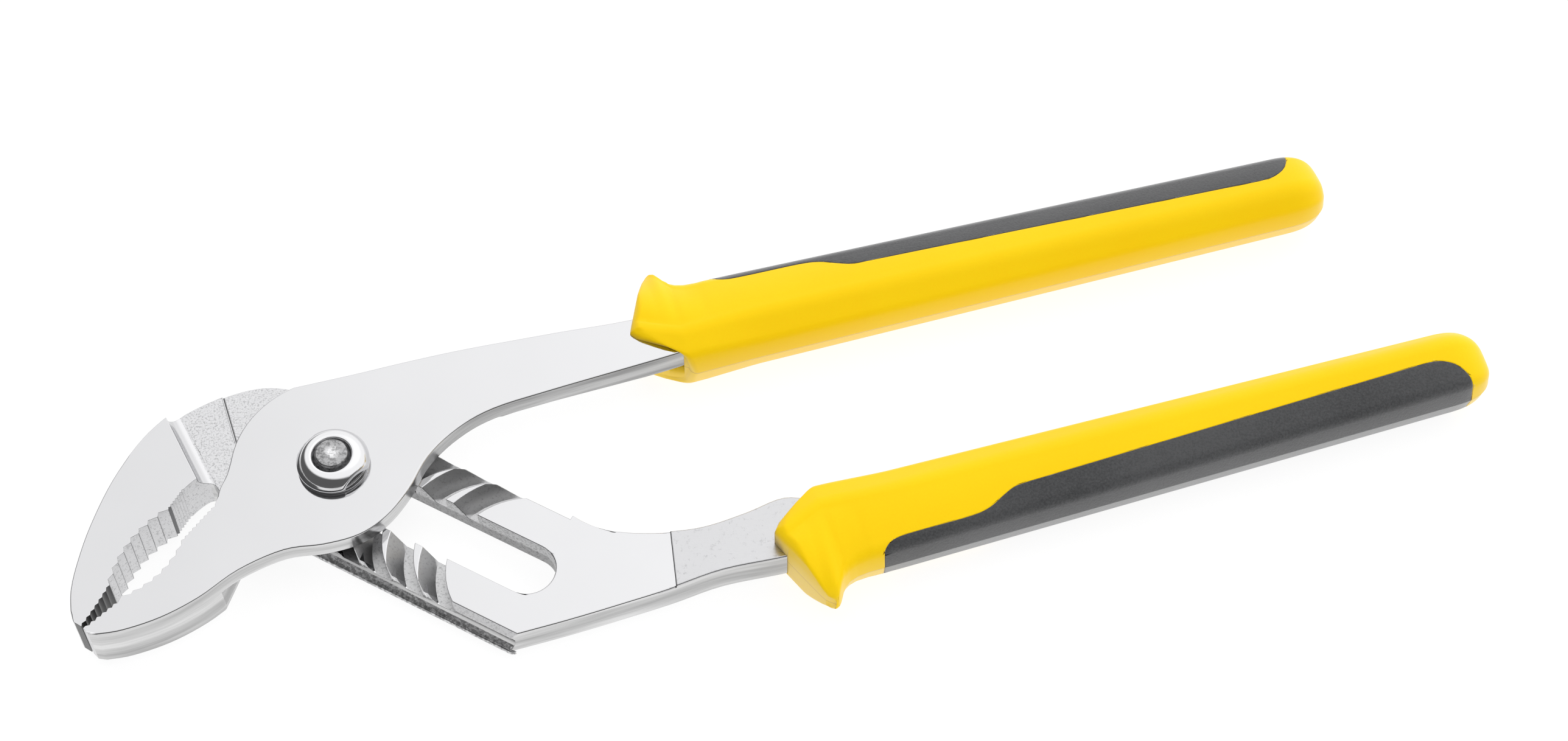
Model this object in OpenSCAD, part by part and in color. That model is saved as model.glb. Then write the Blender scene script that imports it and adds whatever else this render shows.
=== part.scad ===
// Tongue and groove pliers, 250 mm class.
// The tool lies flat on the XY plane. The origin is the pivot axis at the underside of the
// bolt head, +X runs towards the handle ends and +Z up through the pivot. Millimetres.

/* [Pivot and grooves] */
// Direction of the slot, measured from the X axis
slot_angle = -28.5; // [-29:0.5:-28]
// Distance between neighbouring groove positions
groove_pitch = 6.35; // [6.2:0.05:6.4]
// Number of groove positions
positions = 7; // [6:1:7]
// Width of the slot
slot_w = 9.6; // [9.5:0.1:9.8]
// Radius of the grooves' steep wall about the bolt
wall_r = 13.7; // [13.6:0.05:13.8]
// Depth of the grooves
groove_depth = 2.9; // [2.6:0.1:3]
// Radius of the head plate's round left side about the bolt
plate_r = 17.7; // [17.5:0.1:17.8]

/* [Thickness] */
// Bolt head, which the tool rests on
head_t = 2; // [1.6:0.1:2.4]
// Slotted rail and lower arm of the rear lever
rail_t = 5.5; // [5.2:0.1:5.8]
// Head plate of the front lever
plate_t = 3.5; // [3.2:0.1:3.8]
// Upper arm of the front lever where it enters its grip
arm_t = 4.7; // [4.2:0.1:5]
// Height of the as-forged faces over the milled ones
forged_rise = 0.4; // [0.2:0.1:0.5]
// Gap between faces that slide on each other
sliding_gap = 0.1; // [0.08:0.01:0.15]

/* [Bolt and nut] */
// Diameter of the bolt head
head_d = 16; // [14:0.5:17]
// Diameter of the bolt where it slides in the slot
shank_d = 9.2; // [9:0.1:9.3]
// Diameter of the bolt where the front lever turns on it
neck_d = 8; // [7.6:0.1:8.4]
// Diameter of the threaded end
stud_d = 6.2; // [6:0.1:6.4]
// Diameter of the nut
nut_d = 12.4; // [12:0.1:12.8]
// Distance between the nut's two wrench flats
nut_flats = 10.9; // [10.4:0.1:11.4]
// Height of the nut
nut_h = 3.3; // [3:0.1:3.6]

/* [Grips] */
// Length of a grip from its pointed front to its round end
grip_l = 130; // [128:1:132]
// Thickness of a grip
grip_t = 13; // [12.6:0.1:13.4]
// Width of a grip behind its finger flange
grip_w_front = 16.9; // [16.5:0.1:17.2]
// Width of a grip near its round end
grip_w_rear = 13.8; // [13.4:0.1:14.2]
// Reach of the finger flange from the line along the grip's front point
flange_reach = 13.9; // [13.5:0.1:14.1]
// Thickness of the dark inlay
inlay_t = 1.6; // [1.4:0.1:2]

/* [Hidden] */
$fn = 96;

rail_z0 = head_t;
rail_z1 = rail_z0 + rail_t;
plate_z0 = rail_z1 + sliding_gap;
plate_z1 = plate_z0 + plate_t;
neck_z1 = rail_z1 + forged_rise;
travel = (positions - 1) * groove_pitch;
tall = 40;

// Half widths of the rail at its top and at its foot
rail_half_top = 11.3;
rail_half_foot = 13;

// Groove floor and slope, as radii about the bolt
floor_r = wall_r + 1.9;
slope_r = wall_r + 4.6;

// Front point of each grip, and the direction of the grip
front_grip_at = [49.7, 26.2];
front_grip_angle = 15.4;
rear_grip_at = [74.9, -13.2];
rear_grip_angle = 17.1;

// Grip section: half thickness, ridge, and reach to the outer side at each end
grip_h = grip_t / 2;
ridge_t = -1.8;
outer_front = grip_w_front - 7.3;
outer_rear = grip_w_rear - 5.6;

// Heights of the levers' tangs inside the grips
tang_z0 = grip_h - 2.1;
tang_z1 = grip_h + 2.1;

steel = [0.80, 0.81, 0.83];
yellow = [0.99, 0.80, 0.02];
charcoal = [0.20, 0.21, 0.23];

// ---- Geometry helpers -------------------------------------------------------------------

function turned(p, a) = [p.x * cos(a) - p.y * sin(a), p.x * sin(a) + p.y * cos(a)];
function unit(v) = v / norm(v);

// A point given along the slot (u) and across it (v)
function on_rail(u, v) = turned([u, v], slot_angle);

// A point on a circle about the pivot
function polar(r, a) = [r * cos(a), r * sin(a)];

// A point on a grip: s along it, t towards its outer side
function on_front_grip(s, t) = front_grip_at + turned([s, t], front_grip_angle);
function on_rear_grip(s, t) = rear_grip_at + turned([s, -t], rear_grip_angle);

// Smooth curve through the given points
function curve(p, steps = 5) = [
    for (i = [0 : len(p) - 2], j = [0 : steps - 1])
        let (a = p[max(i - 1, 0)], b = p[i], c = p[i + 1], d = p[min(i + 2, len(p) - 1)],
             k = j / steps)
        b + (c - a) * k / 2 + (2 * a - 5 * b + 4 * c - d) * k * k / 2
          + (3 * b - a - 3 * c + d) * k * k * k / 2,
    p[len(p) - 1]];

// Arc about a centre from angle a0 to a1
function arc(c, r, a0, a1, steps = 12) = [
    for (i = [0 : steps]) c + polar(r, a0 + (a1 - a0) * i / steps)];

// Corner at b between a and c, rounded to radius r
function rounded(a, b, c, r, steps = 6) =
    let (u = unit(a - b), w = unit(c - b),
         half = acos(u * w) / 2,
         centre = b + unit(u + w) * r / sin(half),
         from = b + u * r / tan(half) - centre,
         to = b + w * r / tan(half) - centre,
         a0 = atan2(from.y, from.x),
         turn = atan2(from.x * to.y - from.y * to.x, from * to))
    arc(centre, r, a0, a0 + turn, steps);

// Point at fraction k of a bowed line from a to b, which bulges by sag to the right of its way
function bowed(a, b, sag, k) =
    a + (b - a) * k + unit([(b - a).y, -(b - a).x]) * sag * 4 * k * (1 - k);

// Ratchet teeth along a bowed line: each rises to its tip over the share lean of the pitch
function teeth(a, b, sag, count, depth, lean) = [
    for (i = [0 : count - 1])
        let (k = i / count, q = (i + lean) / count,
             side = unit([(b - a).y, -(b - a).x]))
        each [bowed(a, b, sag, k), bowed(a, b, sag, q) + side * depth]];

// ---- Jaw lines ---------------------------------------------------------------------------

upper_tip = [-38.85, -31.15];
lower_tip = [-38.55, -31.45];

// The upper jaw's biting edge, from the throat to the tip
upper_bite = concat(
    teeth([-25.0, -4.9], [-27.1, -8.9], 0, 7, 0.3, 0.5),
    teeth([-27.1, -8.9], [-35.2, -23.4], 1.75, 8, 0.65, 0.65),
    teeth([-35.2, -23.4], upper_tip, -0.15, 7, 0.3, 0.5),
    [upper_tip]);

// The lower jaw's biting edge, from the tip to the throat
lower_bite = concat(
    [lower_tip],
    teeth([-38.2, -31.0], [-33.3, -26.1], 0, 6, 0.35, 0.5),
    teeth([-33.0, -25.4], [-24.3, -14.8], 1.55, 7, 0.45, 0.66),
    teeth([-24.3, -14.8], [-19.4, -7.8], 0, 9, 0.3, 0.6),
    [[-19.4, -7.8]]);

// ---- Outlines ----------------------------------------------------------------------------

rear_arm_outer = curve([on_rail(travel + 3.9, -12.6), [40, -28.3], [48, -25.6], [57.5, -22.2],
                        [66.5, -18.6], on_rear_grip(2.3, 3.5), on_rear_grip(18, 3.6)]);
rear_arm_inner = curve([on_rear_grip(24, -2.4), on_rear_grip(16, -3.6), on_rear_grip(9.8, -5.4),
                        [76.6, -4.6], [70, -7.6],
                        [62.5, -10.4], [54.5, -11.3], [47, -10.8], on_rail(41.4, 12.3),
                        on_rail(37, rail_half_foot)]);
rear_tang_end = [on_rear_grip(26, 2.8), on_rear_grip(111, 2.4), on_rear_grip(112, 1.4),
                 on_rear_grip(112, -1.4), on_rear_grip(111, -2.4)];

jaw_back = curve([[-9, 17.3], [-13, 17.8], [-17, 17.2], [-21.2, 15.6], [-25.5, 13.2],
                  [-28.5, 10.8], [-33.2, 5.2], [-37.3, -3], [-40, -12], [-41.3, -19.5],
                  [-41.6, -24.5], [-41.1, -28.2]]);

rear_throat = curve([on_rail(-14.2, -rail_half_foot), [-19.7, -3.3], [-20.6, -2.2],
                     [-22.0, -2.1], [-23.6, -3.3], [-25.0, -4.9]]);

rear_outline = concat(
    rounded(on_rail(0, -rail_half_foot), on_rail(travel + 4.6, -rail_half_foot),
            [48, -25.8], 1.6),
    rear_arm_outer, rear_tang_end, rear_arm_inner,
    [on_rail(-9, rail_half_foot)],
    jaw_back, [[-40.4, -30.2]],
    [for (i = [len(upper_bite) - 1 : -1 : 0]) upper_bite[i]],
    [for (i = [len(rear_throat) - 2 : -1 : 0]) rear_throat[i]]);

front_arm_outer = curve([polar(plate_r, 118), [1.6, 18.3], [11.6, 21.2], [21.6, 23.8],
                         [36.6, 27.1], on_front_grip(0.4, 3.5), on_front_grip(18, 3.6)]);
front_arm_inner = curve([on_front_grip(24, -2.4), on_front_grip(16, -3.6),
                         on_front_grip(9.3, -5.4), [46.6, 18.6],
                         [36.6, 15.1], [26.6, 11.3], [20.6, 7.2], [15.9, 1.6], [13.1, -4.8],
                         [9.7, -10.1], [5.4, -13.7], [-0.3, -15.6], [-7, -16.7],
                         [-14.2, -20.5], [-20.2, -25.7], [-26, -29.4], [-32, -31.8],
                         [-36.2, -32.6]]);
front_tang_end = [on_front_grip(26, 2.8), on_front_grip(111, 2.4), on_front_grip(112, 1.4),
                  on_front_grip(112, -1.4), on_front_grip(111, -2.4)];

front_outline = concat(
    lower_bite,
    curve([[-19.2, -7], [-18.9, -4.6], [-18.1, -2.2], polar(plate_r, 178)], 3),
    arc([0, 0], plate_r, 176, 120),
    front_arm_outer, front_tang_end, front_arm_inner,
    [[-37.6, -32.4]]);

// ---- Levers ------------------------------------------------------------------------------

// Solid between two heights over an outline
module slab(points, z0, z1) {
    translate([0, 0, z0]) linear_extrude(z1 - z0) polygon(points);
}

// Prism along the slot, whose section is given across it (v) and up (z)
module rail_prism(section, u0, u1) {
    rotate([0, 0, slot_angle]) translate([u0, 0, 0]) rotate([90, 0, 90])
        linear_extrude(u1 - u0) polygon(section);
}

// Solid seen from the side of a grip whose direction is given, across the whole tool
module side_profile(section, angle) {
    rotate([0, 0, angle]) translate([0, 60, 0]) rotate([90, 0, 0])
        linear_extrude(120) polygon(section);
}

// One groove, centred on a bolt position. Its slope reaches out to the radius reach.
module groove(index, reach) {
    floor_z = rail_z1 - groove_depth;
    over = (reach - floor_r) / groove_depth;
    rotate([0, 0, slot_angle]) translate([index * groove_pitch, 0, 0]) rotate([0, 0, 110])
        rotate_extrude(angle = 140)
            polygon([[wall_r, floor_z], [floor_r, floor_z], [reach + over, rail_z1 + 1],
                     [wall_r, rail_z1 + 1]]);
}

module slot_cut() {
    rotate([0, 0, slot_angle]) translate([0, 0, rail_z0 - 1]) {
        cylinder(d = slot_w, h = rail_t + 4);
        translate([travel, 0, 0]) cylinder(d = slot_w, h = rail_t + 4);
        translate([0, -slot_w / 2, 0]) cube([travel, slot_w, rail_t + 4]);
    }
}

// The thick upper jaw ends on this line, with a hollow fillet down to the neck
jaw_step_a = [-29.6, 9.3];
jaw_step_b = [-22.2, -4.4];
step_r = 2.7;

// Everything above the neck and the arm, on the handle side of the upper jaw
module beside_jaw_cut() {
    along = jaw_step_b - jaw_step_a;
    translate([jaw_step_a.x, jaw_step_a.y, neck_z1])
        rotate([0, 0, atan2(along.y, along.x)]) rotate([90, 0, 90])
            translate([0, 0, -40]) linear_extrude(200) difference() {
                square([200, tall]);
                difference() {
                    translate([-1, -1]) square(step_r + 1);
                    translate([step_r, step_r]) circle(r = step_r);
                }
            }
}

// Milled faces that the front lever's plate slides on
module milled_cut() {
    translate([0, 0, rail_z1]) {
        cylinder(r = plate_r + 0.4, h = tall);
        linear_extrude(tall)
            polygon([[-22.3, 19], [-17.8, 6.2], [-18.6, 0], [-19.8, -4], [-21, -12],
                     [20, -45], [59.8, -32], [56.6, -5], [30, 25]]);
    }
}

// Shaped outer sides of the rail: a slanted edge over a hollow on the lower side
module rail_sides_cut() {
    edge_z = rail_z1 - 1.25;
    rail_prism([[-rail_half_top, rail_z1], [-rail_half_top - 1.2, edge_z],
                [-rail_half_foot - 6, edge_z], [-rail_half_foot - 6, rail_z1 + 3],
                [-rail_half_top, rail_z1 + 3]], -11, travel + 8);
    rotate([0, 0, slot_angle]) translate([-11, -rail_half_foot - 1.4, rail_z0 + 3])
        rotate([0, 90, 0]) cylinder(r = 2.6, h = travel + 19);
    rail_prism([[rail_half_top + 0.3, rail_z1], [rail_half_foot + 0.2, rail_z0 + 1],
                [rail_half_foot + 6, rail_z0 + 1], [rail_half_foot + 6, rail_z1 + 3],
                [rail_half_top + 0.3, rail_z1 + 3]], 8, travel + 1.5);
}

// The rear lever's outline as a solid up to z1, thinner from below inside the grip
module rear_blank(z1) {
    difference() {
        slab(rear_outline, rail_z0, z1);
        side_profile([[78, rail_z0 - 1], [78, rail_z0], [88, tang_z0], [200, tang_z0],
                      [200, rail_z0 - 1]], rear_grip_angle);
    }
}

module rear_lever() {
    color(steel) difference() {
        rear_blank(plate_z1);
        beside_jaw_cut();
        milled_cut();
        rail_sides_cut();
        slot_cut();
        groove(0, slope_r - 1);
        for (i = [1 : positions - 1]) groove(i, slope_r);
    }
}

// Part of the front lever that reaches down to the rear lever's back face
lower_jaw_zone = concat(
    [[-60, -60], [-20.6, -32.1], [-18.4, -26.6]],
    arc([0, 0], 21.4, 226, 199, 8),
    [on_rail(-16, -rail_half_foot - 1.3), [-60, -4]]);

module tongue() {
    top_z = plate_z0 + 0.5;
    low_z = rail_z1 - groove_depth + 0.2;
    rotate([0, 0, 198 + slot_angle]) rotate_extrude(angle = 40)
        polygon([[wall_r + 0.08, low_z], [floor_r - 0.1, low_z], [floor_r + 1.5, plate_z0],
                 [floor_r + 1.5, top_z], [wall_r + 0.08, top_z]]);
}

// Head plate and upper arm, which steps down and gets thinner inside the grip
module front_blank() {
    arm_z0 = plate_z1 - arm_t;
    intersection() {
        slab(front_outline, tang_z0, plate_z1);
        side_profile([[-60, plate_z0], [30, plate_z0], [56, arm_z0], [65, arm_z0],
                      [75, tang_z0], [200, tang_z0], [200, tang_z1], [77, tang_z1],
                      [66, plate_z1], [-60, plate_z1]], front_grip_angle);
    }
}

module front_lever() {
    color(steel) difference() {
        union() {
            front_blank();
            intersection() {
                slab(front_outline, rail_z0, plate_z1);
                slab(lower_jaw_zone, rail_z0, plate_z1);
            }
            tongue();
        }
        translate([0, 0, plate_z0 - 1]) cylinder(d = neck_d + 0.1, h = plate_t + 2);
    }
}

// ---- Bolt and nut ------------------------------------------------------------------------

stud_z1 = plate_z1 + sliding_gap / 2 + nut_h + 0.5;

module pivot_bolt() {
    neck_z0 = rail_z1 + sliding_gap / 2;
    color(steel) rotate_extrude()
        polygon([[0, 0], [head_d / 2 - 0.6, 0], [head_d / 2, 0.6],
                 [head_d / 2, head_t - sliding_gap / 2], [shank_d / 2, head_t - sliding_gap / 2],
                 [shank_d / 2, neck_z0], [neck_d / 2, neck_z0], [neck_d / 2, plate_z1],
                 [stud_d / 2, plate_z1], [stud_d / 2, stud_z1 - 1],
                 [stud_d / 2 - 0.2, stud_z1 - 0.3], [stud_d / 2 - 0.7, stud_z1],
                 [0, stud_z1]]);
}

module pivot_nut() {
    z0 = plate_z1 + sliding_gap / 2;
    z1 = z0 + nut_h;
    skirt = 1.6;
    rim_r = 4.1;
    bore_r = stud_d / 2 + 0.02;
    dome = [for (a = [0 : 15 : 90])
            [rim_r + (nut_d / 2 - rim_r) * cos(a), z0 + skirt + (nut_h - skirt) * sin(a)]];
    color(steel) intersection() {
        rotate_extrude()
            polygon(concat([[bore_r, z0], [nut_d / 2, z0]], dome,
                           [[bore_r + 0.25, z1], [bore_r, z1 - 0.4]]));
        rotate([0, 0, 50]) translate([-nut_d, -nut_flats / 2, z0 - 1])
            cube([2 * nut_d, nut_flats, nut_h + 2]);
    }
}

// ---- Grips -------------------------------------------------------------------------------

// Upper half of a grip's section, as [across, up]: a ridge nearer the inner side, and a
// rounded shoulder on each side. The lower half is its mirror image.
function half_section(inner, outer, h) = concat(
    [[-inner, 0]], rounded([-inner, 0], [-inner + 0.9, h * 0.64], [ridge_t, h], 1.9, 3),
    rounded([-inner + 0.9, h * 0.64], [ridge_t, h], [outer - 0.9, h * 0.72], 3.5, 4),
    rounded([ridge_t, h], [outer - 0.9, h * 0.72], [outer, 0], min(2.6, h * 0.4), 4),
    [[outer, 0]]);

// Size of the section at s along the grip: full, then shrinking over the rounded end
function section_scale(s) = pow(1 - pow(max(0, 1 - (grip_l - s) / 9.5), 2.6), 0.385);

// Thin slice of the grip at s along it
module grip_slice(s, inner, outer, h) {
    middle = (outer - inner) / 2;
    k = section_scale(s);
    top = half_section(inner, outer, h);
    loop = concat(top, [for (i = [len(top) - 2 : -1 : 1]) [top[i].x, -top[i].y]]);
    translate([s, 0, grip_h]) rotate([90, 0, 90]) linear_extrude(0.05)
        polygon([for (p = loop) [middle + (p.x - middle) * k, p.y * k]]);
}

// Finger flange, seen from above: s along the grip, t outwards
flange_plan = concat([[0, 0]],
                     rounded([0, 0], [0.41 * (flange_reach + 0.8), flange_reach + 0.8],
                             [8.6, 10.5], 0.9),
                     curve([[7.5, 11.3], [8.6, 10.5], [10, 10], [12, 9.7], [15, 9.5]], 3),
                     [[15, 1]]);

// Removes what lies in front of the slanting plane s = a + b t + c (height over the middle)
module front_trim(a, b, c) {
    translate([a, 0, grip_h])
        rotate([0, asin(c / norm([1, b, c])), atan2(-b, 1)])
            translate([-60, -60, -60]) cube([60, 120, 120]);
}

module grip_solid() {
    difference() {
        union() {
            hull() {
                grip_slice(-1, 7.9, outer_front, grip_h);
                grip_slice(20, 7.3, outer_front, grip_h);
                grip_slice(grip_l - 9.5, 5.6, outer_rear, grip_h);
                grip_slice(grip_l - 6, 5.6, outer_rear, grip_h);
                grip_slice(grip_l - 3.4, 5.6, outer_rear, grip_h);
                grip_slice(grip_l - 1.4, 5.6, outer_rear, grip_h);
                grip_slice(grip_l - 0.1, 5.6, outer_rear, grip_h);
            }
            translate([0, 0, grip_h - 2.2]) linear_extrude(4.4) polygon(flange_plan);
        }
        for (b = [-1.26, 0.41]) {
            front_trim(0, b, 0);
            front_trim(-10.4, b, 2);
            front_trim(-10.4, b, -2);
        }
    }
}

// Area of the dark inlay, seen from above: narrow at the front, then a step to its full width
inlay_plan = concat(
    curve([[16.5, 14], [16.7, 9.6], [17.8, 8], [21, 7.2], [32.5, 6.9], [36.2, 6.3],
           [39.2, 4.9], [41.6, 4], [45, 3.8]], 3),
    curve([[117.5, 1.8], [120.6, 2.1], [123, 3.5], [124.4, 5.8], [124.8, 8.6], [124.6, 14]], 3));

module inlay_zone() {
    difference() {
        translate([0, 0, -1]) linear_extrude(grip_t + 2) polygon(inlay_plan);
        // The inlay is a skin over this core
        hull() {
            grip_slice(0, 7.7 - inlay_t, outer_front - inlay_t, grip_h - inlay_t);
            grip_slice(20, 7.3 - inlay_t, outer_front - inlay_t, grip_h - inlay_t);
            grip_slice(grip_l - 9.5, 5.6 - inlay_t, outer_rear - inlay_t, grip_h - inlay_t);
            grip_slice(grip_l - 4, 5.2 - inlay_t, outer_rear - inlay_t, grip_h - inlay_t);
        }
    }
}

// Places a grip's part on its lever. The rear grip is the mirror image of the front one.
module at_front_grip() {
    translate([front_grip_at.x, front_grip_at.y, 0]) rotate([0, 0, front_grip_angle])
        children();
}

module at_rear_grip() {
    translate([rear_grip_at.x, rear_grip_at.y, 0]) rotate([0, 0, rear_grip_angle])
        mirror([0, 1, 0]) children();
}

module front_grip() {
    color(yellow) difference() {
        at_front_grip() difference() {
            grip_solid();
            inlay_zone();
        }
        front_blank();
    }
}

module front_grip_inlay() {
    color(charcoal) at_front_grip() intersection() {
        grip_solid();
        inlay_zone();
    }
}

module rear_grip() {
    color(yellow) difference() {
        at_rear_grip() difference() {
            grip_solid();
            inlay_zone();
        }
        rear_blank(neck_z1);
    }
}

module rear_grip_inlay() {
    color(charcoal) at_rear_grip() intersection() {
        grip_solid();
        inlay_zone();
    }
}

rear_lever();
front_lever();
pivot_bolt();
pivot_nut();
rear_grip();
rear_grip_inlay();
front_grip();
front_grip_inlay();
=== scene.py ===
import bpy, bmesh, math
from mathutils import Vector, Matrix


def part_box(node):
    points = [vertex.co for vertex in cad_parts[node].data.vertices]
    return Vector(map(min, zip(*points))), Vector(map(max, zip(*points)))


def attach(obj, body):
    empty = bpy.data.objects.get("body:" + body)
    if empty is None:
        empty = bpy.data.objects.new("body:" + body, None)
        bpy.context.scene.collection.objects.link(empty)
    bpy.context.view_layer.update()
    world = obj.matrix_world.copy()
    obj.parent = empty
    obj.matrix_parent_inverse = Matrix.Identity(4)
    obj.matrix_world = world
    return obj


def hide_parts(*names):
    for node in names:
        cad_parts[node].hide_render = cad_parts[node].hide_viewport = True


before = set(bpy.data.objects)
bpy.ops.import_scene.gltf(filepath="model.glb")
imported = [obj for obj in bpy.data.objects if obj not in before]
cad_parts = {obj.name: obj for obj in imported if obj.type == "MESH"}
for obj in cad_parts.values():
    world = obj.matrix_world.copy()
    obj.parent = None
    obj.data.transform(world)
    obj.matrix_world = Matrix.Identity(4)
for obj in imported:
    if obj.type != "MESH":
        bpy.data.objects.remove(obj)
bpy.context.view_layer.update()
scene = bpy.context.scene
MM = 0.001


# ---------------------------------------------------------------- helpers
def add_object(name, verts, faces, scale=MM):
    """A mesh object from vertices in units of scale, which is in metres."""
    me = bpy.data.meshes.new(name)
    me.from_pydata([tuple(c * scale for c in v) for v in verts], [], faces)
    me.validate()
    ob = bpy.data.objects.new(name, me)
    scene.collection.objects.link(ob)
    return ob


def tidy_normals(me, smooth=True):
    """Turn all faces outwards and set how they are shaded."""
    bm = bmesh.new()
    bm.from_mesh(me)
    bmesh.ops.recalc_face_normals(bm, faces=bm.faces)
    for f in bm.faces:
        f.smooth = smooth
    bm.to_mesh(me)
    bm.free()


def settle(ob):
    """Apply an object's modifiers to its mesh."""
    bpy.context.view_layer.update()
    dg = bpy.context.evaluated_depsgraph_get()
    me = bpy.data.meshes.new_from_object(ob.evaluated_get(dg))
    ob.modifiers.clear()
    ob.data = me


def boolean(ob, other, operation):
    """Cut one object with another, or keep what they share."""
    m = ob.modifiers.new("cut", "BOOLEAN")
    m.operation = operation
    m.solver = "EXACT"
    m.object = other
    settle(ob)


def bevel(ob, width, segments):
    """Break the edges that carry a bevel weight, by width in mm."""
    m = ob.modifiers.new("edges", "BEVEL")
    m.limit_method = "WEIGHT"
    m.width = width * MM
    m.segments = segments
    m.use_clamp_overlap = False
    settle(ob)


def weigh_normals(ob, weight, keep_sharp=False):
    """Smooth shading that leans towards the larger faces."""
    m = ob.modifiers.new("normals", "WEIGHTED_NORMAL")
    m.keep_sharp = keep_sharp
    m.weight = weight
    settle(ob)


def drop(ob):
    bpy.data.objects.remove(ob, do_unlink=True)


def prism(name, outline, z0, z1):
    """A straight-sided solid over a 2D outline."""
    n = len(outline)
    verts = [(x, y, z0) for x, y in outline] + [(x, y, z1) for x, y in outline]
    faces = [list(range(n))[::-1], list(range(n, 2 * n))]
    faces += [[i, (i + 1) % n, n + (i + 1) % n, n + i] for i in range(n)]
    ob = add_object(name, verts, faces)
    tidy_normals(ob.data, smooth=False)
    return ob


def spline(points, steps=6):
    """Smooth line through 2D points."""
    out = []
    for i in range(len(points) - 1):
        a, b = points[max(i - 1, 0)], points[i]
        c, d = points[i + 1], points[min(i + 2, len(points) - 1)]
        for j in range(steps):
            k = j / steps
            out.append(tuple(
                q + (r - p) * k / 2 + (2 * p - 5 * q + 4 * r - s) * k * k / 2
                + (3 * q - p - 3 * r + s) * k ** 3 / 2
                for p, q, r, s in zip(a, b, c, d)))
    return out + [tuple(points[-1])]


def lookup(table, x):
    """Straight interpolation in a short table of (x, value) pairs."""
    if x <= table[0][0]:
        return table[0][1]
    for (x0, y0), (x1, y1) in zip(table, table[1:]):
        if x <= x1:
            k = (x - x0) / (x1 - x0)
            return y0 + (y1 - y0) * k
    return table[-1][1]


def fillet(a, b, c, r, n):
    """Points of the arc that rounds corner b."""
    a, b, c = Vector(a), Vector(b), Vector(c)
    u, w = (a - b).normalized(), (c - b).normalized()
    half = math.acos(max(-1, min(1, u.dot(w)))) / 2
    centre = b + (u + w).normalized() * (r / math.sin(half))
    p, q = b + u * (r / math.tan(half)) - centre, b + w * (r / math.tan(half)) - centre
    a0 = math.atan2(p.y, p.x)
    turn = math.atan2(p.x * q.y - p.y * q.x, p.dot(q))
    return [centre + Vector((math.cos(a0 + turn * i / n), math.sin(a0 + turn * i / n))) * r
            for i in range(n + 1)]


def line(a, b, n):
    """Points between a and b, without its ends."""
    return [Vector(a).lerp(Vector(b), i / n) for i in range(1, n)]


# ---------------------------------------------------------------- materials
def new_material(name):
    mat = bpy.data.materials.new(name)
    mat.use_nodes = True
    return mat, mat.node_tree, shader(mat)


def shader(mat):
    return mat.node_tree.nodes["Principled BSDF"]


def feed(nt, socket, value):
    """Link another node's output to a socket, or set a constant there."""
    if isinstance(value, bpy.types.NodeSocket):
        nt.links.new(value, socket)
    else:
        socket.default_value = value


def math_node(nt, operation, *values):
    m = nt.nodes.new("ShaderNodeMath")
    m.operation = operation
    for socket, value in zip(m.inputs, values):
        feed(nt, socket, value)
    return m.outputs[0]


def coords(nt, stretch=(1, 1, 1), angle=0.0):
    """Object coordinates, stretched and turned about Z."""
    tc = nt.nodes.new("ShaderNodeTexCoord")
    mp = nt.nodes.new("ShaderNodeMapping")
    mp.inputs["Scale"].default_value = stretch
    mp.inputs["Rotation"].default_value = (0, 0, angle)
    nt.links.new(tc.outputs["Object"], mp.inputs["Vector"])
    return mp.outputs["Vector"]


def noise(nt, vec, scale, detail=4.0, rough=0.55):
    n = nt.nodes.new("ShaderNodeTexNoise")
    n.inputs["Scale"].default_value = scale
    n.inputs["Detail"].default_value = detail
    n.inputs["Roughness"].default_value = rough
    nt.links.new(vec, n.inputs["Vector"])
    return n.outputs["Fac"]


def ramp(nt, value, lo, hi, v0, v1, kind="LINEAR"):
    """Map lo..hi to v0..v1, and hold the ends."""
    r = nt.nodes.new("ShaderNodeMapRange")
    r.interpolation_type = kind
    r.inputs["From Min"].default_value = lo
    r.inputs["From Max"].default_value = hi
    r.inputs["To Min"].default_value = v0
    r.inputs["To Max"].default_value = v1
    nt.links.new(value, r.inputs["Value"])
    return r.outputs["Result"]


def mix_colors(nt, factor, a, b, blend="MIX"):
    """Blend two colours, each a tuple of three or another node's output."""
    m = nt.nodes.new("ShaderNodeMix")
    m.data_type = "RGBA"
    m.blend_type = blend
    feed(nt, m.inputs[0], factor)
    for socket, color in ((m.inputs[6], a), (m.inputs[7], b)):
        feed(nt, socket, (*color, 1) if isinstance(color, tuple) else color)
    return m.outputs[2]


def bump(nt, bsdf, relief, depth, after=None):
    """Relief of a given depth in metres, on top of an earlier bump if there is one."""
    b = nt.nodes.new("ShaderNodeBump")
    b.inputs["Distance"].default_value = depth
    b.inputs["Strength"].default_value = 1.0
    nt.links.new(relief, b.inputs["Height"])
    if after is not None:
        nt.links.new(after, b.inputs["Normal"])
    nt.links.new(b.outputs["Normal"], bsdf.inputs["Normal"])
    return b.outputs["Normal"]


# Scales of the steel's noises: broad unevenness, brush marks, polishing waves and dimples
BROAD, BRUSHED, WAVY, DIMPLED = 45, 7000, 70, 320


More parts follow.
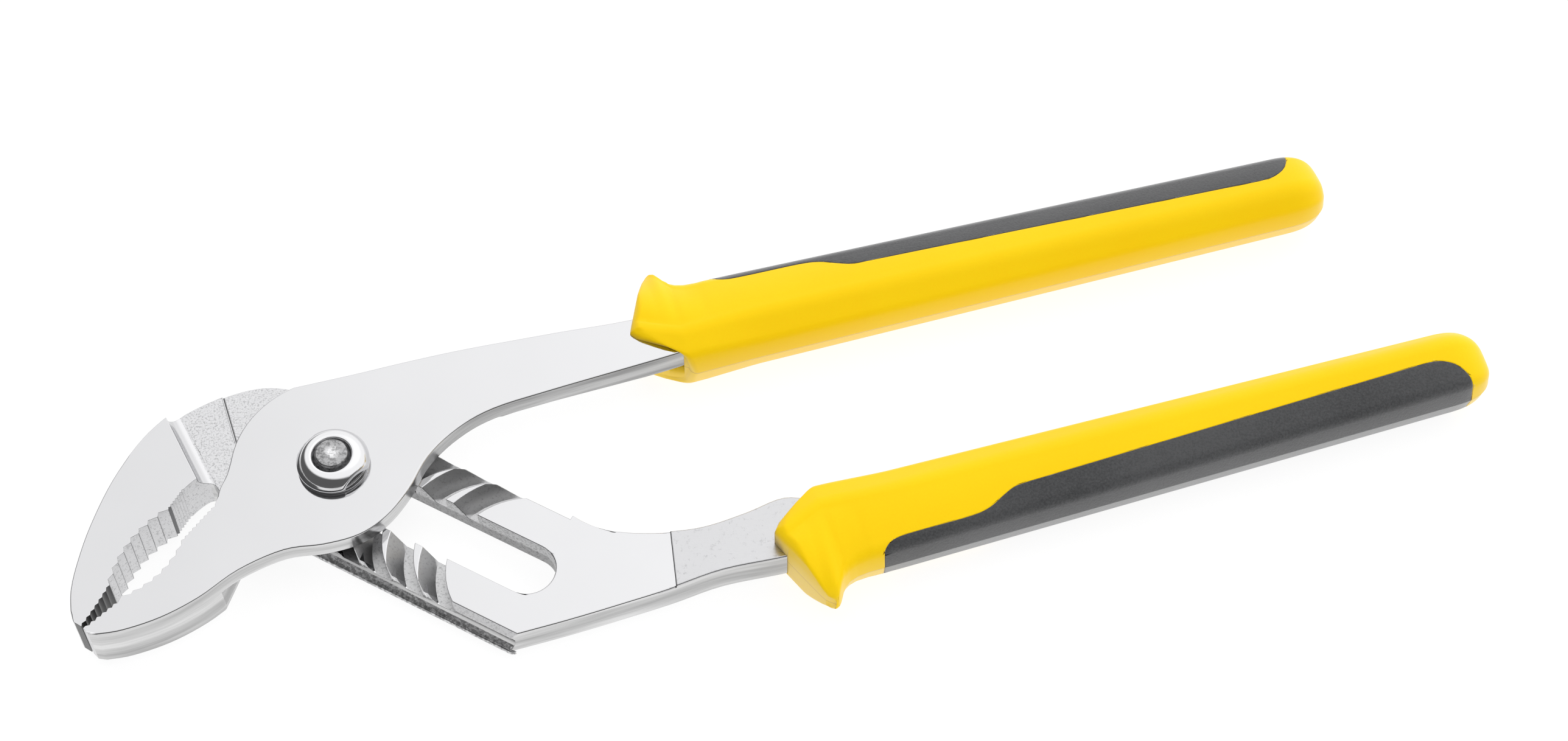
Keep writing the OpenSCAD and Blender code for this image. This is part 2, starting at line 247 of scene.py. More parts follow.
def steel(name, tone, rough, grain=0.0, waves=0.0, pits=0.0, angle=0.0, spread=0.06,
          specks=0.0, dark=0.5, size=2200):
    """Metal: tone is its colour, grain brush marks, waves hand-polished unevenness, pits
    the small hollows of a forged skin, specks the share of dark specks on it."""
    mat, nt, bsdf = new_material(name)
    bsdf.inputs["Metallic"].default_value = 1.0
    vec = coords(nt)
    brushed = coords(nt, (0.05, 1, 1), angle)
    broad = noise(nt, vec, BROAD, 2)
    fine = noise(nt, brushed, BRUSHED, 3, 0.7)
    duller = tuple(c * 0.975 for c in tone)
    color = mix_colors(nt, ramp(nt, broad, 0.3, 0.7, 0, 1), duller, tone)
    if specks:
        spots = ramp(nt, noise(nt, vec, size, 5, 0.75), 0.62 - specks, 0.74 - specks, 0, 1)
        color = mix_colors(nt, spots, color, (dark, dark, dark), "MULTIPLY")
    nt.links.new(color, bsdf.inputs["Base Color"])
    uneven = ramp(nt, broad, 0.3, 0.7, rough - spread / 2, rough + spread / 2)
    scratched = ramp(nt, fine, 0.3, 0.7, -spread / 2, spread / 2)
    nt.links.new(math_node(nt, "ADD", uneven, scratched), bsdf.inputs["Roughness"])
    last = None
    if waves:
        last = bump(nt, bsdf, noise(nt, vec, WAVY, 2), waves, last)
    if grain:
        last = bump(nt, bsdf, fine, grain, last)
    if pits:
        last = bump(nt, bsdf, noise(nt, vec, size * 0.8, 4, 0.7), pits, last)
        bump(nt, bsdf, noise(nt, vec, DIMPLED, 3), pits * 2.0, last)
    return mat


def shaded(mat, value, span, tones):
    """Multiply a material's colour by a tone that follows value over span, in mm."""
    nt = mat.node_tree
    base = shader(mat).inputs["Base Color"]
    color = base.links[0].from_socket
    tone = ramp(nt, value, *(s * MM for s in span), *tones)
    nt.links.new(mix_colors(nt, 1.0, color, tone, "MULTIPLY"), base)


def height(mat):
    """Height above the frame's origin."""
    nt = mat.node_tree
    axes = nt.nodes.new("ShaderNodeSeparateXYZ")
    nt.links.new(coords(nt), axes.inputs[0])
    return axes.outputs["Z"]


def from_axis(mat):
    """Distance from the pivot axis, on the pieces that turn about it."""
    nt = mat.node_tree
    length = nt.nodes.new("ShaderNodeVectorMath")
    length.operation = "LENGTH"
    nt.links.new(coords(nt, (1, 1, 0)), length.inputs[0])
    return length.outputs["Value"]


def away_from(mat, value, level):
    """How far a value is from a level, in mm."""
    nt = mat.node_tree
    return math_node(nt, "ABSOLUTE", math_node(nt, "SUBTRACT", value, level * MM))


def from_line(mat, a, b):
    """Distance in plan from the line through a and b, which are in mm."""
    nt = mat.node_tree
    n = Vector((b[1] - a[1], a[0] - b[0])).normalized()
    dot = nt.nodes.new("ShaderNodeVectorMath")
    dot.operation = "DOT_PRODUCT"
    dot.inputs[1].default_value = (n.x, n.y, 0)
    nt.links.new(coords(nt), dot.inputs[0])
    return away_from(mat, dot.outputs["Value"], n.dot(Vector(a)))


def painted_reflection_streaks(mat, low, high):
    """Give a steel material painted reflections: light and dark streaks that run around the
    piece's sides.
    """
    nt = mat.node_tree
    lines = noise(nt, coords(nt, (0.06, 0.06, 1)), 300, 4, 0.6)
    tone = mix_colors(nt, ramp(nt, lines, 0.36, 0.62, 0, 1), (low,) * 3, (high,) * 3)
    nt.links.new(tone, shader(mat).inputs["Base Color"])
    return mat


# Ends of the step lines across the neck and across the lower arm, along which dark lines of
# painted shade run
NECK_LINE = (-21, 15.4), (-17.8, 6.2)
ARM_LINE = (59.8, -32), (56.6, -5)

m_polished = steel("polished_steel", (0.60, 0.60, 0.61), 0.08, grain=0.000001, waves=0.000004)
# Painted reflections: the sides' colour is light and dark streaks in place of the steel's tone
m_side = painted_reflection_streaks(steel("ground_side_steel_painted_reflections", (0.70, 0.70, 0.71), 0.16, grain=0.000004,
                        waves=0.0001), 0.40, 0.72)
# Painted shade and reflections: the arms' sides are a darker copy of the side steel, with the
# same painted streaks
m_arm_side = painted_reflection_streaks(steel("arm_side_steel_painted_shade_and_reflections", (0.6, 0.6, 0.6), 0.2, grain=0.000004,
                            waves=0.0001), 0.24, 0.52)
m_forged = steel("forged_steel", (0.60, 0.60, 0.61), 0.32, pits=0.00004, spread=0.12,
                 specks=0.12, dark=0.60, size=2800)
# Painted shade: a dark line along the neck's step
shaded(m_forged, from_line(m_forged, *NECK_LINE), (0.1, 0.32), (0.16, 1.0))
m_satin = steel("satin_steel", (0.53, 0.53, 0.54), 0.28, grain=0.000006, waves=0.00006,
                pits=0.000008, specks=0.05, dark=0.75, size=1200)
# Painted shade: a dark line along the lower arm's step
shaded(m_satin, from_line(m_satin, *ARM_LINE), (0.1, 0.3), (0.2, 1.0))
m_groove = steel("groove_steel", (0.40, 0.40, 0.405), 0.38, grain=0.00001, pits=0.00001,
                 angle=1.05, specks=0.08, dark=0.7)
m_floor_band = steel("groove_floor_steel", (0.50, 0.50, 0.505), 0.38, grain=0.000006,
                     pits=0.00002, specks=0.1, dark=0.6)
m_recess = steel("recess_steel", (0.42, 0.42, 0.425), 0.34, pits=0.00002, spread=0.2,
                 specks=0.2, dark=0.42, size=1500)
# Painted highlight low down and painted shade higher up: the recess is lighter below 3.4 mm and
# darker above 3.7 mm
shaded(m_recess, height(m_recess), (3.4, 3.7), (1.7, 0.8))
m_channel = steel("channel_steel", (0.84, 0.84, 0.85), 0.5, pits=0.00002, specks=0.12, dark=0.7)
shader(m_channel).inputs["Metallic"].default_value = 0.3
m_wall = steel("slot_wall_steel", (0.48, 0.48, 0.485), 0.42, pits=0.00003, spread=0.12,
               specks=0.14, dark=0.6)
# Painted shade: the slot wall is darker below 4.4 mm, and painted light makes it lighter above
# 5.0 mm
shaded(m_wall, height(m_wall), (4.4, 5.0), (0.72, 1.15))
m_teeth = steel("teeth_steel", (0.66, 0.66, 0.67), 0.28, grain=0.00001, pits=0.00001,
                specks=0.08, dark=0.5)
# Painted shade: a darker copy of the teeth steel for the teeth's smaller faces
m_tooth_backs = steel("painted_shade_tooth_back_steel", (0.16, 0.16, 0.165), 0.30, pits=0.00001)
# Painted shade: a near-black copy of the teeth steel for the nose teeth, where the closing jaws
# shade them
m_nose_teeth = steel("nose_teeth_steel", (0.09, 0.09, 0.09), 0.34, pits=0.00001)
m_bolt = steel("bolt_steel", (0.42, 0.42, 0.425), 0.34, pits=0.00006, spread=0.14,
               specks=0.16, dark=0.5, size=1300)
shaded(m_bolt, from_axis(m_bolt), (0.4, 1.6), (1.9, 0.9))
m_nut = steel("nut_steel", (0.70, 0.70, 0.71), 0.13, waves=0.00002)


# Scales of the mouldings' noises: skin grain and mottling
GRAINED, MOTTLED = 2600, 60
# Height of the moulding line, and heights between which the sides' gloss changes, in mm
SEAM_Z = 6.2
GLOSS_Z = 4.5, 9.5


def moulded(name, color, light, rough, grain, gloss, speckle=0.0, sheen=0.0):
    """Moulded plastic; gloss is its specular level low and high on the sides."""
    mat, nt, bsdf = new_material(name)
    vec = coords(nt)
    fine = noise(nt, vec, GRAINED, 3, 0.65)
    broad = noise(nt, vec, MOTTLED, 3)
    mottle = ramp(nt, broad, 0.35, 0.65, 0, 0.5)
    spots = ramp(nt, fine, 0.35, 0.75, 0, 0.5 + speckle)
    tone = mix_colors(nt, math_node(nt, "ADD", mottle, spots), color, light)
    nt.links.new(tone, bsdf.inputs["Base Color"])
    nt.links.new(ramp(nt, fine, 0.3, 0.7, rough - 0.06, rough + 0.08), bsdf.inputs["Roughness"])
    level = ramp(nt, height(mat), *(z * MM for z in GLOSS_Z), *gloss)
    nt.links.new(level, bsdf.inputs["Specular IOR Level"])
    bsdf.inputs["Sheen Weight"].default_value = sheen
    bump(nt, bsdf, fine, grain)
    shaded(mat, away_from(mat, height(mat), SEAM_Z), (0.06, 0.22), (0.72, 1.0))
    return mat


m_yellow = moulded("grip_yellow", (1.0, 0.645, 0.0), (1.0, 0.69, 0.001), 0.36, 0.00002,
                   (0.9, 0.06), sheen=0.25)
# Painted light: the yellow glows faintly, as if more brightly lit
shader(m_yellow).inputs["Emission Color"].default_value = (1.0, 0.6, 0.0, 1)
shader(m_yellow).inputs["Emission Strength"].default_value = 0.05
m_charcoal = moulded("grip_charcoal", (0.022, 0.023, 0.025), (0.062, 0.063, 0.066), 0.5,
                     0.00005, (1.0, 0.25), speckle=0.5, sheen=0.9)


# ---------------------------------------------------------------- levers
# The jaws' biting edges in plan, from throat to nose, in mm
UPPER_BITE = [(-22.5, -2.5), (-25.0, -4.9), (-27.1, -8.9), (-31.7, -13.9), (-33.9, -17.6),
              (-35.2, -23.4), (-38.9, -31.2)]
LOWER_BITE = [(-19.4, -7.8), (-24.3, -14.8), (-25.9, -19.2), (-28.6, -22.2), (-33.0, -25.4),
              (-38.6, -31.4)]


def distance(p, path):
    """Distance in plan from p to a path of straight stretches."""
    best = 1e9
    for a, b in zip(path, path[1:]):
        a, b = Vector(a), Vector(b)
        k = max(0, min(1, (p - a).dot(b - a) / (b - a).length_squared))
        best = min(best, (p - a.lerp(b, k)).length)
    return best


# Points closer than MERGE, in mm, become one, and edges bent by SHARP or more are sharp
MERGE = 0.13
SHARP = math.radians(28)


def flatten(me):
    """Put every vertex of a broad level face back on the face's plane."""
    for p in me.polygons:
        if abs(p.normal.z) > 0.99 and p.area > 1e-6:
            level = sorted(me.vertices[i].co.z for i in p.vertices)[len(p.vertices) // 2]
            for i in p.vertices:
                me.vertices[i].co.z = level


def drop_fins(me):
    """Delete slivers with an open edge, which stand on a surface that is closed without them."""
    bm = bmesh.new()
    bm.from_mesh(me)
    fins = [f for f in bm.faces if any(e.is_boundary for e in f.edges)]
    bmesh.ops.delete(bm, geom=fins, context="FACES")
    bm.to_mesh(me)
    bm.free()


def lever_piece(node, name, bite, pick):
    """A copy of a forged lever's solid with its sharp edges broken."""
    ob = bpy.data.objects.new(name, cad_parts[node].data.copy())
    scene.collection.objects.link(ob)
    ob.data.materials.clear()
    bm = bmesh.new()
    bm.from_mesh(ob.data)
    bmesh.ops.remove_doubles(bm, verts=bm.verts, dist=MERGE * MM)
    bmesh.ops.dissolve_degenerate(bm, edges=bm.edges, dist=0.01 * MM)
    bmesh.ops.dissolve_limit(bm, angle_limit=math.radians(0.4), verts=bm.verts, edges=bm.edges)
    weight = bm.edges.layers.float.new("bevel_weight_edge")
    for e in bm.edges:
        if len(e.link_faces) != 2 or e.calc_face_angle(0) < SHARP:
            continue
        if not e.is_convex:
            e.smooth = False
            continue
        # Bevels are narrower by the teeth, on low steps, in the grooves, on the neck and low down
        mid = (e.verts[0].co + e.verts[1].co) / 2 / MM
        near = distance(Vector((mid.x, mid.y)), bite) < 1.6 and mid.x < -19
        heights = [max(v.co.z for v in f.verts) - min(v.co.z for v in f.verts)
                   for f in e.link_faces if abs(f.normal.z) < 0.9]
        low = bool(heights) and min(heights) < 0.6 * MM
        u, v = along_slot(mid)
        groove = node == "rear_lever" and -20 < u < 45 and 4.5 < abs(v) < 14 and mid.z > 2
        neck = node == "rear_lever" and mid.x < -10 and mid.y > 0
        e[weight] = 0.2 if near else 0.4 if low or groove or neck or mid.z < 3 else 1.0
    bm.to_mesh(ob.data)
    bm.free()
    bevel(ob, 0.32, 3)
    drop_fins(ob.data)
    flatten(ob.data)
    for mat in LEVER_STEELS.values():
        ob.data.materials.append(mat)
    names = list(LEVER_STEELS)
    for p in ob.data.polygons:
        p.use_smooth = True
        p.material_index = names.index(pick(p.center / MM, p.normal, p.area / MM ** 2))
    weigh_normals(ob, 60, keep_sharp=True)
    normals = [n.vector.copy() for n in ob.data.corner_normals]
    for p in ob.data.polygons:
        if abs(p.normal.z) > 0.995 and p.area > 2e-7:
            for i in p.loop_indices:
                normals[i] = Vector((0, 0, math.copysign(1, p.normal.z)))
    ob.data.normals_split_custom_set(normals)
    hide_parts(node)
    return ob


# Direction of the slot in plan
SLOT = math.radians(-28.5)


def along_slot(c):
    """A point in plan as its place along the slot and across it."""
    return (c.x * math.cos(SLOT) + c.y * math.sin(SLOT),
            -c.x * math.sin(SLOT) + c.y * math.cos(SLOT))


def rear_pick(c, n, area):
    """Steel of a rear lever face with centre c, normal n and area, in mm."""
    u, v = along_slot(c)
    upright = abs(n.z) < 0.5
    # Upper jaw's teeth: in painted shade at the nose, light at the throat, and told by size
    # between them, where the smaller faces are in painted shade
    if c.x < -19 and distance(Vector((c.x, c.y)), UPPER_BITE) < 1.3 and upright:
        if c.y < -22.5:
            return "painted_shade_nose_teeth"
        return "teeth" if c.y > -8 or area > 4.5 else "painted_shade_tooth_backs"
    # Neck's lower level and its fillet
    if -30.5 < c.x < -7 and 7.3 < c.z < 10.9 and n.z > 0.1 and c.y > -5:
        return "forged" if n.z > 0.97 else "polished"
    # Lower arm next to the grip
    if c.x > 56.5 and c.z > 6.5:
        return "satin"
    # Groove floors and slopes
    if -20 < u < 44 and abs(v) < 12.2 and 4 < c.z < 7.46 and abs(v) > 4.9:
        if n.z > 0.97:
            return "floor_band"
        if 0.3 < n.z and v > -11:
            return "groove"
    # Rail's lower side: the rough recess and the channel above it
    if -12 < u < 43 and -14.2 < v < -12.0 and 2.3 < c.z < 6.2:
        return "recess"
    if -12 < u < 46 and -13.4 < v < -11.3 and 5.8 < c.z < 7.4:
        return "channel"
    if upright and -6 < u < 44 and abs(v) < 5.2:
        return "slot_wall"
    return "side" if upright else "polished"


def front_pick(c, n, area):
    """Steel of a front lever face; its area plays no part."""
    upright = abs(n.z) < 0.5
    if distance(Vector((c.x, c.y)), LOWER_BITE) < 1.3 and upright:
        return "teeth"
    if not upright:
        return "polished"
    return "arm_side" if c.x > 13 else "side"


LEVER_STEELS = {
    "polished": m_polished, "side": m_side, "forged": m_forged, "satin": m_satin,
    "groove": m_groove, "recess": m_recess, "teeth": m_teeth, "floor_band": m_floor_band,
    "slot_wall": m_wall, "painted_shade_tooth_backs": m_tooth_backs, "painted_shade_nose_teeth": m_nose_teeth,
    "arm_side": m_arm_side, "channel": m_channel}
rear_lever = lever_piece("rear_lever", "rear_lever_forging", UPPER_BITE, rear_pick)
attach(rear_lever, "rear")
front_lever = lever_piece("front_lever", "front_lever_forging", LOWER_BITE, front_pick)
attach(front_lever, "front")


# ---------------------------------------------------------------- bolt and nut
def lathe(name, profile, steps=96):
    """A turned piece from a profile of (radius, height) pairs."""
    verts, faces = [], []
    for i in range(steps):
        a = 2 * math.pi * i / steps
        verts += [(r * math.cos(a), r * math.sin(a), z) for r, z in profile]
    n = len(profile)
    for i in range(steps):
        j = (i + 1) % steps
        faces += [[i * n + k, j * n + k, j * n + k + 1, i * n + k + 1] for k in range(n - 1)]
    ob = add_object(name, verts, faces)
    bm = bmesh.new()
    bm.from_mesh(ob.data)
    bmesh.ops.remove_doubles(bm, verts=bm.verts, dist=1e-7)
    bm.to_mesh(ob.data)
    bm.free()
    tidy_normals(ob.data)
    return ob


lo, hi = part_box("pivot_bolt")
bolt_top, head_r = hi[2] / MM, (hi[0] - lo[0]) / 2 / MM
nlo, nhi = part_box("pivot_nut")
nut_z0, nut_z1 = nlo[2] / MM, nhi[2] / MM
# Radii of the bolt's shank, neck, thread and end, and the height of its head, in mm
SHANK_R, NECK_R, THREAD_R, END_R = 4.6, 4.0, 3.1, 2.78
HEAD_H = 1.95
# Radii of the nut, the inner rim of its dome and its bore, and half its width across flats
NUT_R, RIM_R, BORE_R, FLAT = 6.2, 3.95, 3.14, 5.45
FLAT_ANGLE = math.radians(140)

bolt_profile = [(0, 0.0), (head_r - 1.0, 0.0), (head_r - 0.35, 0.12), (head_r - 0.05, 0.5),
                (head_r, 0.8), (head_r, 1.85), (head_r - 0.08, HEAD_H), (SHANK_R, HEAD_H),
                (SHANK_R, 7.5), (NECK_R, 7.55), (NECK_R, nut_z0), (THREAD_R, nut_z0),
                (THREAD_R, bolt_top - 1.1), (END_R, bolt_top - 0.8), (END_R, bolt_top - 0.25),
                (2.7, bolt_top - 0.1), (2.5, bolt_top - 0.02), (2.2, bolt_top),
                (1.1, bolt_top - 0.08), (0.8, bolt_top - 0.01), (0.5, bolt_top - 0.03),
                (0.0, bolt_top - 0.1)]
bolt = lathe("pivot_bolt_turned", bolt_profile)
bolt.data.materials.append(m_bolt)
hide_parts("pivot_bolt")
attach(bolt, "pivot")

# The dome is part of an ellipse; these are the sines of its end angles and a cosine
SIN_TOP, SIN_SIDE, COS_SIDE = 0.139, 0.883, 0.469
DOME_R, DOME_H = 6.08, 1.8
nut_profile = [(BORE_R, nut_z0), (5.75, nut_z0), (5.95, nut_z0 + 0.12), (5.95, nut_z0 + 0.4),
               (5.82, nut_z0 + 0.5), (5.82, nut_z0 + 0.6), (6.12, nut_z0 + 0.72),
               (NUT_R, nut_z0 + 0.85), (NUT_R, nut_z0 + 1.2), (6.17, nut_z0 + 1.35)]
for degrees in range(62, 7, -6):
    a = math.radians(degrees)
    k = (math.sin(a) - SIN_TOP) / (SIN_SIDE - SIN_TOP)
    nut_profile.append((RIM_R + 0.1 + (DOME_R - RIM_R - 0.1) * k,
                        nut_z1 - DOME_H * (1 - math.cos(a)) / (1 - COS_SIDE)))
nut_profile += [(RIM_R - 0.1, nut_z1), (3.62, nut_z1 - 0.02), (3.42, nut_z1 - 0.1),
                (3.32, nut_z1 - 0.3), (3.28, nut_z1 - 1.0), (BORE_R, nut_z1 - 1.2),
                (BORE_R, nut_z0)]
nut = lathe("pivot_nut_domed", nut_profile, 144)
flat_dir = Vector((math.cos(FLAT_ANGLE), math.sin(FLAT_ANGLE), 0))
for v in nut.data.vertices:
    d = v.co.dot(flat_dir)
    if abs(d) > FLAT * MM and v.co.z > (nut_z0 + 0.85) * MM:
        v.co -= flat_dir * (d - math.copysign(FLAT * MM, d))
nut.data.materials.append(m_nut)
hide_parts("pivot_nut")
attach(nut, "pivot")


# ---------------------------------------------------------------- grips
# In mm. s runs along a grip from the apex of its pointed front, t across it from the inner
# side to the outer, and z up from the parting plane.
LENGTH, HALF_H = 130.0, 6.5
# Where the rounded end starts, and over how far the pointed front fades into square sections
END_S, FADE_L = 121.4, 26
# Reach of the front flange to the inner and outer side
FLANGE_IN, FLANGE_OUT = 7.8, 14.6
# Length over which sections are worked out beforehand for the pointed front, and how many per mm
FRONT_L, PER_MM = 38, 10
# Tables along s: the reach to both sides, the drop of the outer shoulder, the rise of the
# top's middle, the place of its ridge and the height of its inner edge
OUTER = [(-4, 14.6), (6.6, 14.6), (7.3, 14.2), (7.9, 13.2), (8.5, 12.1), (9.2, 11.2),
         (10.2, 10.4), (11.8, 9.85), (14, 9.6), (20, 9.6), (120, 8.2), (130, 8.1)]
INNER = [(-4, 8.0), (8, 7.7), (20, 7.25), (124, 5.5), (130, 5.4)]
SHOULDER = [(-4, 4.9), (5.5, 4.9), (7.5, 3.8), (10, 2.6), (15, 2.0), (130, 1.9)]
CROWN = [(-4, 1.7), (5, 1.6), (9, 0.7), (14, 0.25), (130, 0.12)]
RIDGE = [(-4, 2.0), (0, 1.6), (8.5, -2.3), (14, -2.1), (20, -1.8), (130, -1.6)]
INNER_EDGE = [(-4, 4.6), (12, 4.5), (22, 3.8), (130, 3.5)]


def section(s):
    """Loop of a grip's section at s as (t, z) pairs."""
    x = max(0.0, (s - END_S) / (LENGTH - END_S))
    k = (1 - min(1, x) ** 2.8) ** (1 / 2.8) if x < 1 else 0.0
    w_out, w_in, fall = lookup(OUTER, s), lookup(INNER, s), lookup(SHOULDER, s)
    c0, c1 = (-w_in, 0.0), (-w_in + 0.8, lookup(INNER_EDGE, s))
    c2, c3, c4 = (lookup(RIDGE, s), HALF_H), (w_out - 0.9, HALF_H - fall), (w_out, 0.0)
    r3 = 2.6 if fall < 3 else 1.4
    a1, a2 = fillet(c0, c1, c2, 2.1, 6), fillet(c1, c2, c3, 4.2, 8)
    a3 = fillet(c2, c3, c4, r3, 8)
    # A low moulding ridge stands on the parting plane at both sides
    top = [Vector((-w_in - 0.06, 0)), Vector((-w_in, 0.14))]
    face = line(a2[-1], a3[0], 12)
    for i, p in enumerate(face, 1):
        p.y += lookup(CROWN, s) * 4 * (i / 12) * (1 - i / 12)
    top += a1 + line(a1[-1], a2[0], 5) + a2 + face + a3
    top += [Vector((w_out, 0.14)), Vector((w_out + 0.06, 0))]
    loop = [(p.x, p.y) for p in top] + [(p.x, -p.y) for p in top[-2:0:-1]]
    mid = (w_out - w_in) / 2
    kz = (1 - min(1, x) ** 3.0) ** (1 / 2.2) if x < 1 else 0.0
    return [(mid + (t - mid) * k, z * kz) for t, z in loop]


def front_line(t):
    """How far back the pointed front of a grip lies at t."""
    tip = 0.3 * max(0.0, t - 12.6) ** 2
    return (1.26 if t < 0 else 0.41) * (math.sqrt(t * t + 0.36) - 0.6) + tip


def stations():
    """Distances along a grip at which it has a ring of points, closer at both ends."""
    d, out = 0.5, [0.0, 0.18]
    while d < LENGTH - 0.02:
        out.append(d)
        d += 0.45 if d < 15 else 1.6 if d < 118 else 0.5 if d < 127 else 0.2
    return out + [LENGTH - 0.01]


def grip_body(name):
    """A grip's full solid, before the inlay and the tang are cut from it."""
    sections = [section(i / PER_MM) for i in range(FRONT_L * PER_MM)]
    n = len(sections[0])
    rings = []
    for i, d in enumerate(stations()):
        fade = max(0.0, 1 - d / FADE_L)
        if not fade:
            rings.append([(d, t, z) for t, z in section(d)])
            continue
        # The front's rim is rounded: its first two rings are lower, and narrower to both sides
        ring, inset = [], (0.45, 0.15, 0.0)[min(i, 2)]
        round_in = 1.7 * (1 - math.sqrt(1 - (1 - min(1, d / 2.4)) ** 2))
        round_out = 0.8 * (1 - math.sqrt(1 - (1 - min(1, d / 1.3)) ** 2))
        for j in range(n):
            t = sections[int(d * PER_MM)][j][0]
            # s and t depend on each other, so both are found in a few rounds
            for _ in range(8):
                s = d + front_line(t) * fade
                i0 = int(s * PER_MM)
                k = s * PER_MM - i0
                (t0, z0), (t1, z1) = sections[i0][j], sections[i0 + 1][j]
                t, z = t0 + (t1 - t0) * k, z0 + (z1 - z0) * k
            # Near its front edge the flange's top and bottom are rounded down
            away = d / (1.6 if t < 0 else 1.08)
            cap = 5.1 + 1.4 * min(1.0, away / 1.7) ** 0.8
            z = math.copysign(min(abs(z), cap), z)
            t *= 1 - (round_in / FLANGE_IN if t < 0 else round_out / FLANGE_OUT)
            ring.append((s, t, z * (1 - inset / 6)))
        rings.append(ring)
    verts = [(s, t, HALF_H + z) for ring in rings for s, t, z in ring]
    faces = []
    for i in range(len(rings) - 1):
        for j in range(n):
            k = (j + 1) % n
            faces.append([i * n + j, i * n + k, (i + 1) * n + k, (i + 1) * n + j])
    half = n // 2
    faces.append([0, 1, n - 1])
    faces += [[j, j + 1, n - j - 1, n - j] for j in range(1, half - 1)]
    faces.append([half - 1, half, half + 1])
    last = (len(rings) - 1) * n
    faces.append([last + j for j in range(n)][::-1])
    ob = add_object(name, verts, faces)
    tidy_normals(ob.data)
    return ob


# Outline of the dark zone's inner side as (s, t), front part and end part
INLAY = (spline([(16.5, 14), (16.6, 9.6), (17.2, 8.2), (19.2, 7.25), (23, 7.0), (32.5, 6.9),
                 (36.2, 6.3), (39.2, 4.9), (41.6, 4.0), (45, 3.8)]) +
         spline([(117.5, 1.75), (120.3, 2.0), (122.8, 3.3), (124.3, 5.4), (124.8, 8.0),
                 (124.6, 14)]))
# The body under the dark zone: its middle across and up in metres, and its size against
# the grip's
CORE_MIDDLE, CORE_SIZE = (0.0012, 0.0065), (0.78, 0.74)


def make_grip(node, inlay_node, body, lever_node, apex, angle, side):
    """A grip with its inlay, its front's apex at apex, turned by angle degrees; side -1
    mirrors it."""
    shell = grip_body(node + "_moulding")
    skin = shell.copy()
    skin.data = shell.data.copy()
    skin.name = inlay_node + "_moulding"
    scene.collection.objects.link(skin)
    zone = prism("inlay_zone", INLAY, -20, 40)
    core = grip_body("core")
    (mid_y, mid_z), (size_y, size_z) = CORE_MIDDLE, CORE_SIZE
    for v in core.data.vertices:
        v.co.y = mid_y + (v.co.y - mid_y) * size_y
        v.co.z = mid_z + (v.co.z - mid_z) * size_z
    boolean(zone, core, "DIFFERENCE")
    drop(core)
    boolean(skin, zone, "INTERSECT")
    boolean(shell, zone, "DIFFERENCE")
    drop(zone)
    place = (Matrix.Translation((apex[0] * MM, apex[1] * MM, 0)) @
             Matrix.Rotation(math.radians(angle), 4, "Z") @ Matrix.Diagonal((1, side, 1, 1)))
    for ob in (shell, skin):
        ob.data.transform(place)
        tidy_normals(ob.data)
    tang = bpy.data.objects.new("tang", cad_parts[lever_node].data.copy())
    scene.collection.objects.link(tang)
    boolean(shell, tang, "DIFFERENCE")
    drop(tang)
    for ob in (shell, skin):
        bm = bmesh.new()
        bm.from_mesh(ob.data)
        bmesh.ops.remove_doubles(bm, verts=bm.verts, dist=5e-6)
        weight = bm.edges.layers.float.new("bevel_weight_edge")
        for e in bm.edges:
            if len(e.link_faces) == 2 and e.calc_face_angle(0) > math.radians(50):
                # Only edges behind the flange are broken
                local = place.inverted() @ ((e.verts[0].co + e.verts[1].co) / 2) / MM
                e[weight] = 1.0 if local.x > 15.5 else 0.0
        bm.to_mesh(ob.data)
        bm.free()
        bevel(ob, 0.12, 2)
        for p in ob.data.polygons:
            p.use_smooth = True
        weigh_normals(ob, 55)
        ob.data.materials.clear()
    shell.data.materials.append(m_yellow)
    skin.data.materials.append(m_charcoal)
    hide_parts(node)
    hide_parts(inlay_node)
    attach(shell, body)
    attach(skin, body)


make_grip("front_grip", "front_grip_inlay", "front", "front_lever", (49.7, 26.2), 15.4, 1)
make_grip("rear_grip", "rear_grip_inlay", "rear", "rear_lever", (74.9, -13.2), 17.1, -1)


# ---------------------------------------------------------------- studio
def look_at(obj, target):
    obj.rotation_euler = (Vector(target) - obj.location).to_track_quat("-Z", "Y").to_euler()


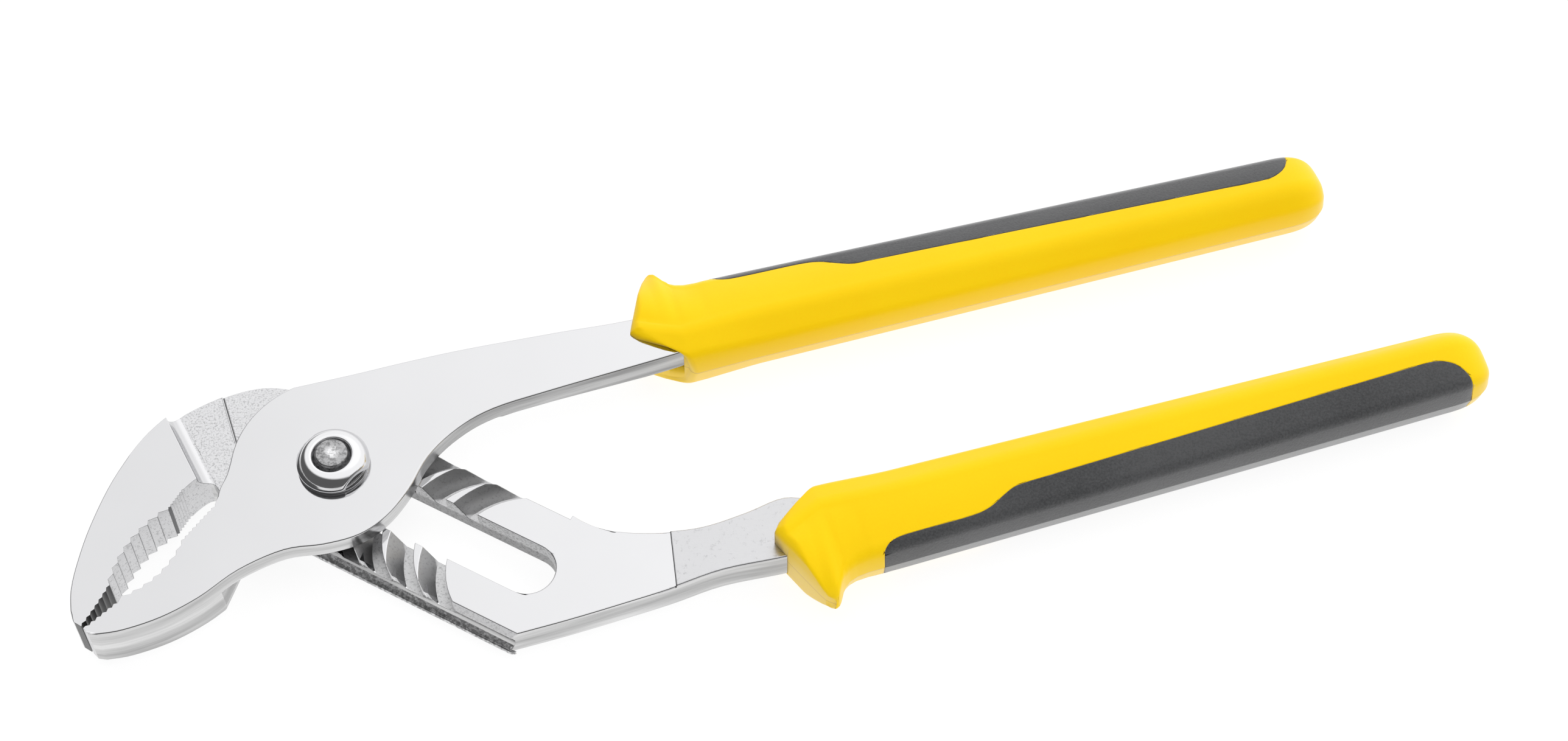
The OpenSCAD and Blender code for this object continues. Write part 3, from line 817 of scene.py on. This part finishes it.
# The camera's aim, its elevation and its distance, in metres
TARGET = Vector((0.0766, 0.0191, 0.011))
ELEV, DIST = math.radians(57.0), 0.5
cam_data = bpy.data.cameras.new("camera")
cam_data.sensor_width = 36.0
cam_data.lens = 66.04
cam_data.clip_start = 0.01
camera = bpy.data.objects.new("camera", cam_data)
scene.collection.objects.link(camera)
camera.location = TARGET + Vector((0.0, -math.cos(ELEV), math.sin(ELEV))) * DIST
look_at(camera, TARGET)
scene.camera = camera
scene.view_settings.view_transform = "Standard"

# A soft sky: dark low down in front, bright overhead and behind, brightest high up behind
world = bpy.data.worlds.new("studio")
world.use_nodes = True
nt = world.node_tree
tc = nt.nodes.new("ShaderNodeTexCoord")
sky = nt.nodes.new("ShaderNodeSeparateXYZ")
nt.links.new(tc.outputs["Generated"], sky.inputs[0])
tilt = math_node(nt, "MULTIPLY_ADD", sky.outputs["Y"], 0.70, sky.outputs["Z"])
across = math_node(nt, "MULTIPLY_ADD", sky.outputs["X"], 0.4, tilt)
dome = ramp(nt, across, 0.40, 0.70, 0.08, 0.80, "SMOOTHSTEP")
crown = ramp(nt, across, 1.10, 1.34, 0.0, 0.30)
background = nt.nodes["Background"]
nt.links.new(math_node(nt, "ADD", dome, crown), background.inputs["Color"])
background.inputs["Strength"].default_value = 1.6
scene.world = world

lamp_data = bpy.data.lights.new("front_fill", "AREA")
lamp_data.shape = "RECTANGLE"
lamp_data.size, lamp_data.size_y = 0.9, 0.5
lamp_data.energy = 1.1
lamp = bpy.data.objects.new("front_fill", lamp_data)
scene.collection.objects.link(lamp)
lamp.location = (0.08, -0.55, 0.38)
look_at(lamp, TARGET)
lamp.visible_glossy = False

# The floor lies just under the pliers, so that the two don't share a plane
FLOOR_LO, FLOOR_HI, FLOOR_Z = -1.5, 1.8, -0.0002
corners = ((FLOOR_LO, FLOOR_LO), (FLOOR_HI, FLOOR_LO), (FLOOR_HI, FLOOR_HI), (FLOOR_LO, FLOOR_HI))
floor = add_object("floor", [(x, y, FLOOR_Z) for x, y in corners], [[0, 1, 2, 3]], 1.0)
m_floor, _, bsdf = new_material("floor")
bsdf.inputs["Base Color"].default_value = (0.16, 0.16, 0.16, 1)
bsdf.inputs["Emission Color"].default_value = (1, 1, 1, 1)
bsdf.inputs["Emission Strength"].default_value = 0.88
bsdf.inputs["Roughness"].default_value = 0.7
floor.data.materials.append(m_floor)
